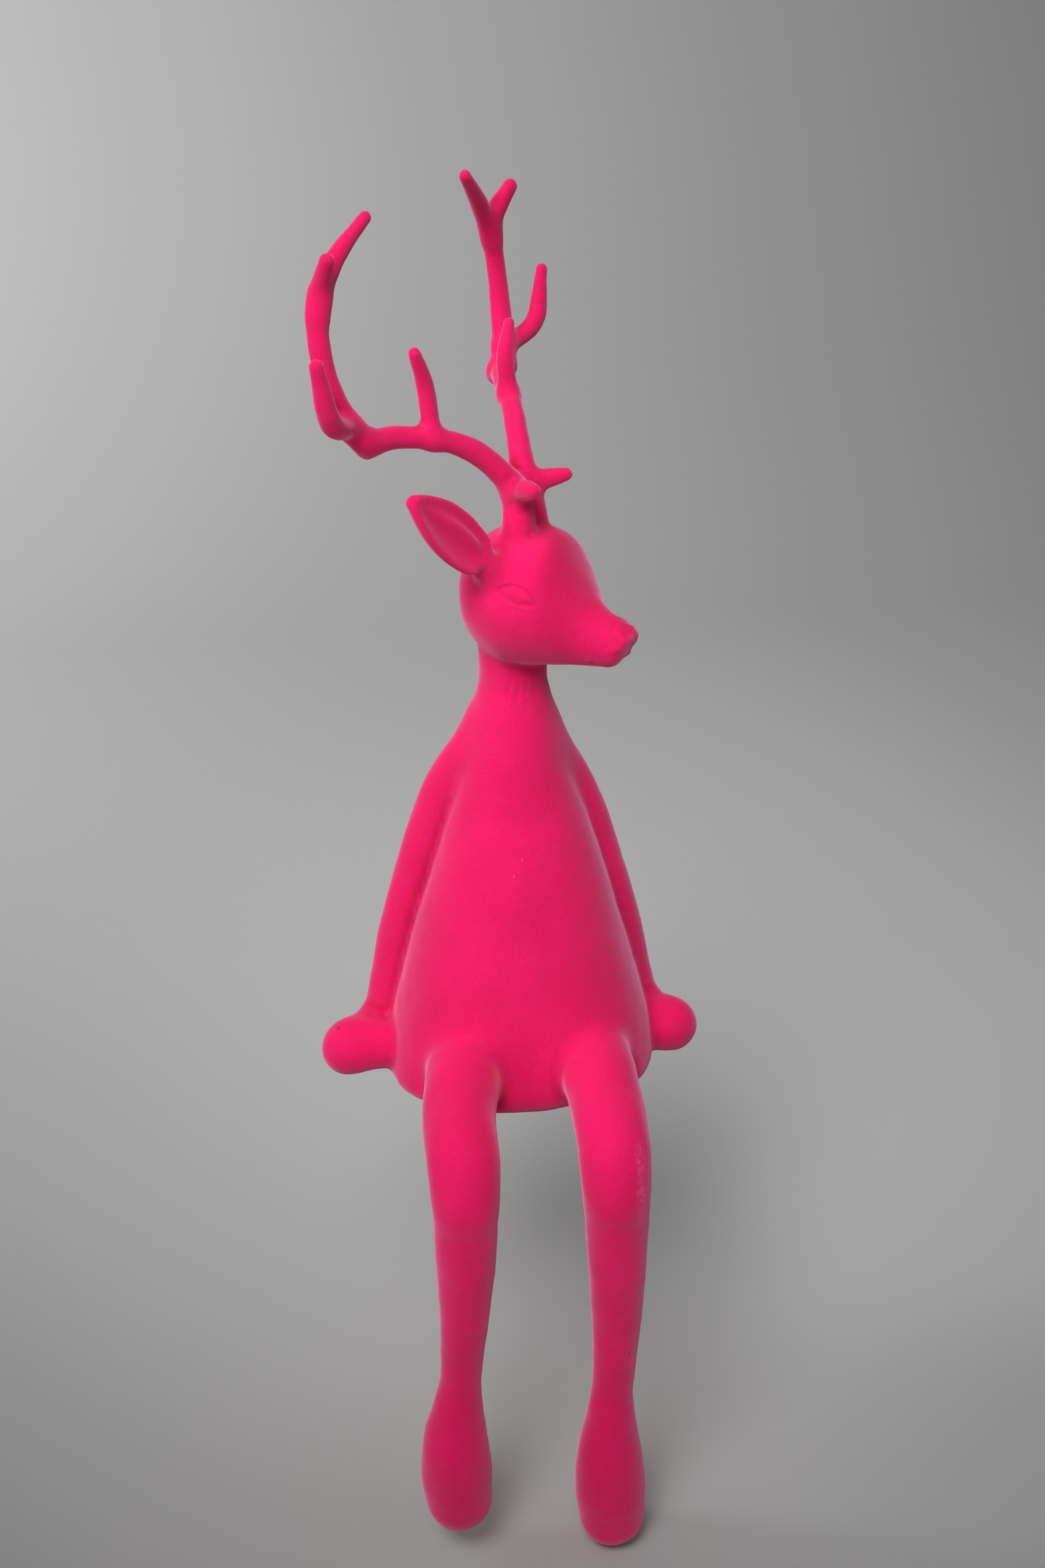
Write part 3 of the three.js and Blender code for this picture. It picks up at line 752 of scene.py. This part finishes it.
def stroke(points, start, end, width, depth):
    """A soft groove between two places, or a low ridge where the depth is negative."""
    start = np.array(start)
    along = np.array(end) - start
    t = np.clip((points - start) @ along / (along @ along), 0, 1)
    away = np.linalg.norm(points - start - t[:, None] * along, axis=1)
    return -depth * bell(away, width) * np.sin(math.pi * (STROKE_ENDS + (1 - 2 * STROKE_ENDS) * t))


def add_strokes(relief, points, strokes):
    """Adds each stroke to the relief of the points near it."""
    for start, end, width, depth in strokes:
        near = within(points, np.minimum(start, end), np.maximum(start, end), STROKE_REACH * width)
        relief[near] += stroke(points[near], start, end, width, depth)


def lumps(points, wavelength, height, seed):
    """Faint waves in all directions, like the unevenness of a hand-finished cast."""
    random = np.random.default_rng(seed)
    directions = random.normal(size=(LUMP_WAVES, 3))
    directions *= (2 * math.pi / wavelength * random.uniform(*LUMP_SPREAD, LUMP_WAVES)
                   / np.linalg.norm(directions, axis=1))[:, None]
    phases = random.uniform(0, 2 * math.pi, LUMP_WAVES)
    return np.sin(points @ directions.T + phases).sum(1) * height / math.sqrt(LUMP_WAVES / 2)


def face_relief(points):
    """Eyes, nose, mouth and a crease at the antler's root, for points in the head's own frame."""
    relief = np.zeros(len(points))
    for sign in (-1, 1):
        near = within(points, *eye_box(sign), 0)
        relief[near] += eye_relief(points[near], sign)
    nose = within(points, *np.array(NOSE_BOX), 0)
    if len(nose):
        spots = points[nose]
        mirrored = spots * (1, -1, 1)
        dents = np.zeros(len(spots))
        for start, end, width, depth in NOSE_STROKES:
            dents += stroke(spots, start, end, width, depth) + stroke(mirrored, start, end, width, depth)
        dents += lumps(spots, *NOSE_LUMPS) * np.clip((spots[:, 0] - NOSE_LUMPS_FROM) / NOSE_LUMPS_SPAN, 0, 1)
        relief[nose] += dents
    add_strokes(relief, points, PEDICLE_STROKES)
    return relief


def body_relief(points):
    """A hollow in the chest, strokes on the neck, and a faint unevenness all over."""
    relief = sum(lumps(points, *waves) for waves in BODY_LUMPS)
    add_strokes(relief, points, BODY_STROKES)
    return relief


def finished_distance(points):
    """The figure's skin with its relief."""
    distances = figure_distance(points) - body_relief(points)
    high = np.flatnonzero(points[:, 2] > BODY_HEIGHT - FACE_MARGIN)
    if len(high):
        distances[high] -= face_relief(to_head(points[high]))
    return distances


def gradient(field, points):
    """The direction in which the field grows, from four shifted samples."""
    total = np.zeros((len(points), 3))
    for corner in ((1, -1, -1), (-1, 1, -1), (-1, -1, 1), (1, 1, 1)):
        corner = np.array(corner, float)
        total += field(points + corner * GRADIENT_STEP)[:, None] * corner
    return total / (4 * GRADIENT_STEP)


def pull_onto(field, vertices):
    """The moves to take away from corners so that they come to lie on the field's zero surface."""
    slope = gradient(field, vertices)
    pull = field(vertices) / np.maximum((slope**2).sum(1), STEEPNESS_FLOOR)
    return np.clip(pull, -LONGEST_PULL, LONGEST_PULL)[:, None] * slope


def grid_skin(field, low, high, cell):
    """Corners and four-sided faces of the field's zero surface on a regular grid.

    The field is sampled finely only in blocks of cells near the surface. Each cell that the surface
    crosses gets one corner, and each grid edge that it crosses gets one face.
    """
    low = np.asarray(low, float)
    counts = (np.ceil((np.asarray(high) - low) / (cell * BLOCK))).astype(int) * BLOCK + 1
    blocks = (counts - 1) // BLOCK
    middles = np.stack(np.meshgrid(*[np.arange(n) for n in blocks], indexing="ij"), -1).reshape(-1, 3)
    centres = low + (middles + 0.5) * cell * BLOCK
    rough = field(centres)
    close = np.abs(rough) < cell * BLOCK * BLOCKS_NEAR
    values = np.repeat(np.repeat(np.repeat(rough.reshape(blocks), BLOCK, 0), BLOCK, 1), BLOCK, 2)
    values = np.pad(values, ((0, 1),) * 3, mode="edge")
    wanted = np.zeros(counts, bool)
    for i, j, k in middles[close] * BLOCK:
        wanted[i:i + BLOCK + 1, j:j + BLOCK + 1, k:k + BLOCK + 1] = True
    index = np.argwhere(wanted)
    values[wanted] = field(low + index * cell)

    inside = values < 0
    corners = [(i, j, k) for i in (0, 1) for j in (0, 1) for k in (0, 1)]
    shape = counts - 1

    def corner_view(array, corner):
        """The array's values at one corner of every cell."""
        return array[tuple(slice(c, c + n) for c, n in zip(corner, shape))]

    count_inside = sum(corner_view(inside, corner).astype(np.int8) for corner in corners)
    cells = np.argwhere((count_inside > 0) & (count_inside < 8))
    number = np.full(shape, -1)
    number[tuple(cells.T)] = np.arange(len(cells))
    total = np.zeros((len(cells), 3))
    crossings = np.zeros(len(cells))
    for a in corners:
        for axis in range(3):
            if a[axis]:
                continue
            b = tuple(1 if i == axis else c for i, c in enumerate(a))
            va = values[tuple((cells + a).T)]
            vb = values[tuple((cells + b).T)]
            crossed = (va < 0) != (vb < 0)
            t = np.where(crossed, va / np.where(crossed, va - vb, 1), 0)
            point = np.array(a, float) + t[:, None] * (np.array(b) - a)
            total += np.where(crossed[:, None], point, 0)
            crossings += crossed
    vertices = low + (cells + total / crossings[:, None]) * cell

    faces = []
    for axis in range(3):
        others = [(axis + 1) % 3, (axis + 2) % 3]
        ahead = np.roll(inside, -1, axis)
        changed = inside != ahead
        last = [slice(None)] * 3
        last[axis] = -1
        changed[tuple(last)] = False
        for other in others:
            for end in (0, -1):
                edge = [slice(None)] * 3
                edge[other] = end
                changed[tuple(edge)] = False
        at = np.argwhere(changed)
        ring = []
        for du, dv in ((-1, -1), (0, -1), (0, 0), (-1, 0)):
            step = np.zeros(3, int)
            step[others[0]] = du
            step[others[1]] = dv
            ring.append(number[tuple((at + step).T)])
        quads = np.stack(ring, 1)
        outward = inside[tuple(at.T)]
        quads[~outward] = quads[~outward][:, ::-1]
        faces.append(quads)
    return vertices, np.vstack(faces)


def relax(vertices, faces, field):
    """Evens out the faces along the surface and draws the corners onto it, with the border kept level."""
    edges = np.vstack([faces[:, (i, (i + 1) % 4)] for i in range(4)])
    use = np.bincount(edges.ravel(), minlength=len(vertices))
    loop_key = np.sort(edges, axis=1)
    _, first, seen = np.unique(loop_key[:, 0] * len(vertices) + loop_key[:, 1], return_index=True,
                               return_counts=True)
    border = np.zeros(len(vertices), bool)
    border[edges[first[seen == 1]].ravel()] = True
    for _ in range(RELAX_ROUNDS):
        around = np.zeros_like(vertices)
        for axis in range(3):
            around[:, axis] = (np.bincount(edges[:, 0], vertices[edges[:, 1], axis], len(vertices))
                               + np.bincount(edges[:, 1], vertices[edges[:, 0], axis], len(vertices)))
        move = around / use[:, None] - vertices
        move[border, 2] = 0
        vertices = vertices + RELAX_STRENGTH * move
        pull = pull_onto(field, vertices)
        pull[border, 2] = 0
        vertices = vertices - pull
    return vertices


def shade_and_wear_masks(vertices):
    """How enclosed and how exposed the skin is at each corner, from zero to one; the enclosure drives the
    painted shade in hollows, the exposure the rubbed wear on edges.
    """
    outward = gradient(finished_distance, vertices)
    outward /= np.linalg.norm(outward, axis=1)[:, None]
    recess_shade = np.zeros(len(vertices))
    for reach in RECESS_REACHES:
        recess_shade += 1 - np.clip(finished_distance(vertices + reach * outward) / reach, 0, 1)
    exposed = 1 + finished_distance(vertices - EXPOSED_REACH * outward) / EXPOSED_REACH
    return recess_shade / len(RECESS_REACHES), np.clip(exposed, 0, 1)


def refine(built):
    """Divides the faces round the eyes, the nose and the neck's strokes, where the relief is fine."""
    places = to_head(np.array([face.calc_center_median() for face in built.faces]) * 1000)
    wanted = np.zeros(len(places), bool)
    for low, high in (eye_box(-1), eye_box(1), NOSE_TIP_BOX, NECK_STROKES_BOX):
        wanted |= np.all((places > low) & (places < high), axis=1)
    built.faces.ensure_lookup_table()
    edges = {edge for i in np.flatnonzero(wanted) for edge in built.faces[i].edges}
    bmesh.ops.subdivide_edges(built, edges=sorted(edges, key=lambda edge: edge.index), cuts=1,
                              use_grid_fill=True)


def skin_mesh(name):
    """The whole figure's skin: a coarser body and a finer head, joined round the neck."""
    coarse = 1.0
    floor = -max(LEG_DROP) - ROOM_BELOW_FEET
    low, high = zip(BODY_SPAN_X, BODY_SPAN_Y, (floor, NECK_CUT))
    body = grid_skin(figure_distance, low, high, BODY_CELL * coarse)
    body_top = body[0][:, 2].max()
    low, high = zip(HEAD_SPAN_X, HEAD_SPAN_Y, (body_top + HEAD_CELL, HEAD_TOP))
    head = grid_skin(figure_distance, low, high, HEAD_CELL * coarse)
    mesh = bpy.data.meshes.new(name)
    built = bmesh.new()
    for vertices, faces in (body, head):
        vertices = relax(vertices, faces, figure_distance)
        corners = [built.verts.new(vertex / 1000) for vertex in vertices]
        for face in faces:
            built.faces.new([corners[i] for i in face])
    open_edges = [edge for edge in built.edges if edge.is_boundary]
    bmesh.ops.bridge_loops(built, edges=open_edges)
    bmesh.ops.recalc_face_normals(built, faces=built.faces)
    refine(built)
    vertices = np.array([corner.co for corner in built.verts]) * 1000
    for _ in range(FINISH_ROUNDS):
        vertices -= pull_onto(finished_distance, vertices)
    for corner, vertex in zip(built.verts, vertices):
        corner.co = vertex / 1000
    for face in built.faces:
        face.smooth = True
    built.to_mesh(mesh)
    built.free()
    # Stores the enclosure, used to paint shade into hollows, and the exposure, used for rubbed wear on edges
    for mask_name, values in zip(("recess_shade", "exposed"), shade_and_wear_masks(vertices)):
        mesh.attributes.new(mask_name, "FLOAT", "POINT").data.foreach_set("value", values)
    return mesh


figure = bpy.data.objects.new("flocked_reindeer", skin_mesh("flocked_reindeer"))
bpy.context.scene.collection.objects.link(figure)
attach(figure, "root")
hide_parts("reindeer_figure")

# Flock material
material = bpy.data.materials.new("flock")
material.use_nodes = True
nodes = material.node_tree.nodes
links = material.node_tree.links
shader = nodes["Principled BSDF"]
coordinates = nodes.new("ShaderNodeTexCoord")


def noise(size, detail=2.0, roughness=0.5):
    """Noise whose spots are about that many millimetres across."""
    texture = nodes.new("ShaderNodeTexNoise")
    texture.inputs["Scale"].default_value = 1000 / size / 2
    texture.inputs["Detail"].default_value = detail
    texture.inputs["Roughness"].default_value = roughness
    links.new(coordinates.outputs["Object"], texture.inputs["Vector"])
    return texture.outputs["Fac"]


def attribute(name):
    """A value that the mesh stores for each corner."""
    reader = nodes.new("ShaderNodeAttribute")
    reader.attribute_name = name
    return reader.outputs["Fac"]


def ranged(value, low, high, to_low=0.0, to_high=1.0):
    """A value stretched from one range to another and held inside it."""
    stretch = nodes.new("ShaderNodeMapRange")
    for socket, number in zip(("From Min", "From Max", "To Min", "To Max"), (low, high, to_low, to_high)):
        stretch.inputs[socket].default_value = number
    links.new(value, stretch.inputs["Value"])
    return stretch.outputs["Result"]


def math_node(operation, a, b):
    """A sum, product or the like of two values or numbers."""
    work = nodes.new("ShaderNodeMath")
    work.operation = operation
    for socket, value in zip(work.inputs, (a, b)):
        if isinstance(value, (int, float)):
            socket.default_value = value
        else:
            links.new(value, socket)
    return work.outputs[0]


def blend(factor, first, second):
    """One colour passing into another as the factor grows."""
    mix = nodes.new("ShaderNodeMix")
    mix.data_type = "RGBA"
    links.new(factor, mix.inputs["Factor"])
    for socket, colour in ((mix.inputs[6], first), (mix.inputs[7], second)):
        if isinstance(colour, tuple):
            socket.default_value = (*colour, 1)
        else:
            links.new(colour, socket)
    return mix.outputs[2]


def zone(centre, half_size):
    """One inside an ellipsoid given in millimetres, fading to nothing at its edge."""
    offset = nodes.new("ShaderNodeVectorMath")
    offset.operation = "SUBTRACT"
    links.new(coordinates.outputs["Object"], offset.inputs[0])
    offset.inputs[1].default_value = [value / 1000 for value in centre]
    share = nodes.new("ShaderNodeVectorMath")
    share.operation = "DIVIDE"
    links.new(offset.outputs[0], share.inputs[0])
    share.inputs[1].default_value = [value / 1000 for value in half_size]
    size = nodes.new("ShaderNodeVectorMath")
    size.operation = "LENGTH"
    links.new(share.outputs[0], size.inputs[0])
    return ranged(size.outputs["Value"], 1.0, 0.5)


def bump(height, distance, before=None):
    """A bump of that many millimetres laid over the one before it."""
    relief = nodes.new("ShaderNodeBump")
    relief.inputs["Distance"].default_value = distance / 1000
    relief.inputs["Strength"].default_value = 1.0
    links.new(height, relief.inputs["Height"])
    if before:
        links.new(before, relief.inputs["Normal"])
    return relief.outputs["Normal"]


grain = noise(FIBRE_SIZE, 1.0)
clumps = noise(CLUMP_SIZE, 2.0, 0.6)
cloud = noise(CLOUD_SIZE, 2.0)
colour = blend(ranged(cloud, 0.3, 0.7), FLOCK_DEEP, FLOCK_MAIN)
colour = blend(ranged(clumps, 0.5, 0.8, 0, CLUMP_LIGHT), colour, FLOCK_LIGHT)
colour = blend(ranged(grain, 0.5, 0.75, 0, GRAIN_LIGHT), colour, FLOCK_LIGHT)
colour = blend(ranged(grain, 0.5, 0.28, 0, GRAIN_DARK), colour, FLOCK_DARK)
# Painted shade: the flock is darkened where the skin is enclosed, in creases, hollows and between parts
colour = blend(ranged(attribute("recess_shade"), 0.15, 0.7, 0, RECESS_PAINTED_SHADE), colour, FLOCK_DARK)
rubbed = math_node("MULTIPLY", ranged(attribute("exposed"), 0.15, 0.6), ranged(clumps, 0.4, 0.62))
colour = blend(ranged(rubbed, 0, 1, 0, EDGE_RUBBED), colour, FLOCK_RUBBED)
streaks = ranged(noise(SCUFF_SIZE, 3.0, 0.65), 0.44, 0.64, *SCUFF_STRENGTH)
for centre, half_size in SCUFFS:
    colour = blend(math_node("MULTIPLY", zone(centre, half_size), streaks), colour, FLOCK_RUBBED)
for centre, half_size, tone in MARKS:
    colour = blend(zone(centre, half_size), colour, tone)
links.new(colour, shader.inputs["Base Color"])
links.new(ranged(grain, 0.3, 0.7, *FLOCK_ROUGHNESS), shader.inputs["Roughness"])
shader.inputs["Specular IOR Level"].default_value = FLOCK_SPECULAR
shader.inputs["Sheen Weight"].default_value = SHEEN_WEIGHT
shader.inputs["Sheen Roughness"].default_value = SHEEN_ROUGHNESS
shader.inputs["Sheen Tint"].default_value = SHEEN_TINT
links.new(bump(grain, FIBRE_DEPTH, bump(clumps, CLUMP_DEPTH)), shader.inputs["Normal"])
figure.data.materials.append(material)

# Floor that curves up into a backdrop, in metres
FLOOR_FRONT = -3.0
FLOOR_BACK = 1.6
FLOOR_HALF_WIDTH = 4.0
BACKDROP_BEND = 0.9
BACKDROP_TOP = 3.5
FLOOR_GREY = (0.4, 0.402, 0.4, 1)
floor_z = cad_bounds[0][2]
backdrop = bpy.data.meshes.new("floor")
rows = [(FLOOR_FRONT, floor_z)]
for angle in np.linspace(0, math.pi / 2, 13):
    back = FLOOR_BACK + BACKDROP_BEND * math.sin(angle)
    rows.append((back, floor_z + BACKDROP_BEND * (1 - math.cos(angle))))
rows.append((FLOOR_BACK + BACKDROP_BEND, BACKDROP_TOP))
verts = [(x, y, z) for y, z in rows for x in (-FLOOR_HALF_WIDTH, FLOOR_HALF_WIDTH)]
faces = [(2 * i, 2 * i + 1, 2 * i + 3, 2 * i + 2) for i in range(len(rows) - 1)]
backdrop.from_pydata(verts, [], faces)
for polygon in backdrop.polygons:
    polygon.use_smooth = True
floor_object = bpy.data.objects.new("floor", backdrop)
bpy.context.scene.collection.objects.link(floor_object)
floor_material = bpy.data.materials.new("floor")
floor_material.use_nodes = True
floor_shader = floor_material.node_tree.nodes["Principled BSDF"]
floor_shader.inputs["Base Color"].default_value = FLOOR_GREY
floor_shader.inputs["Roughness"].default_value = 0.9
backdrop.materials.append(floor_material)

# Soft lights, in metres, watts and degrees: [name, place, target, size, power, spread]
LIGHTS = [
    ("key", (-0.45, -1.05, 1.8), (0.0, -0.1, 0.48), 1.1, 3.5, 44.0),
    ("low", (-0.9, -1.6, -0.1), (0.0, 0.0, 0.36), 0.8, 0.8, 50.0),
    ("fill", (1.8, -1.6, 1.2), (0.0, 0.0, 0.1), 2.0, 1.2, 180.0),
    ("backdrop", (-2.0, 0.5, 1.5), (-0.5, 2.4, 0.5), 1.4, 44.0, 130.0),
]
WORLD_STRENGTH = 0.25


def add_area(name, place, target, size, power, spread):
    """A round soft light turned towards its target."""
    light = bpy.data.lights.new(name, "AREA")
    light.shape = "DISK"
    light.size = size
    light.energy = power
    light.spread = math.radians(spread)
    thing = bpy.data.objects.new(name, light)
    thing.location = place
    thing.rotation_euler = (Vector(target) - Vector(place)).to_track_quat("-Z", "Y").to_euler()
    bpy.context.scene.collection.objects.link(thing)


for row in LIGHTS:
    add_area(*row)
world = bpy.data.worlds.new("world")
world.use_nodes = True
world.node_tree.nodes["Background"].inputs["Color"].default_value = (1, 1, 1, 1)
world.node_tree.nodes["Background"].inputs["Strength"].default_value = WORLD_STRENGTH
bpy.context.scene.world = world

# Camera at the photograph's place, in metres, with its lens in millimetres
CAMERA_PLACE = (-0.1067, -1.1482, 0.8091)
CAMERA_RIGHT = Vector((0.9946, -0.1036, -0.0094)).normalized()
CAMERA_FORWARD = Vector((0.0879, 0.8857, -0.4558)).normalized()
CAMERA_SENSOR = 36.0
CAMERA_LENS = 43.15
camera = bpy.data.cameras.new("camera")
camera.sensor_width = CAMERA_SENSOR
camera.lens = CAMERA_LENS
camera_object = bpy.data.objects.new("camera", camera)
camera_up = CAMERA_RIGHT.cross(CAMERA_FORWARD).normalized()
axes = Matrix((CAMERA_RIGHT, camera_up, -CAMERA_FORWARD)).transposed().to_4x4()
camera_object.matrix_world = Matrix.Translation(CAMERA_PLACE) @ axes
bpy.context.scene.collection.objects.link(camera_object)
bpy.context.scene.camera = camera_object
bpy.context.scene.view_settings.view_transform = "Standard"
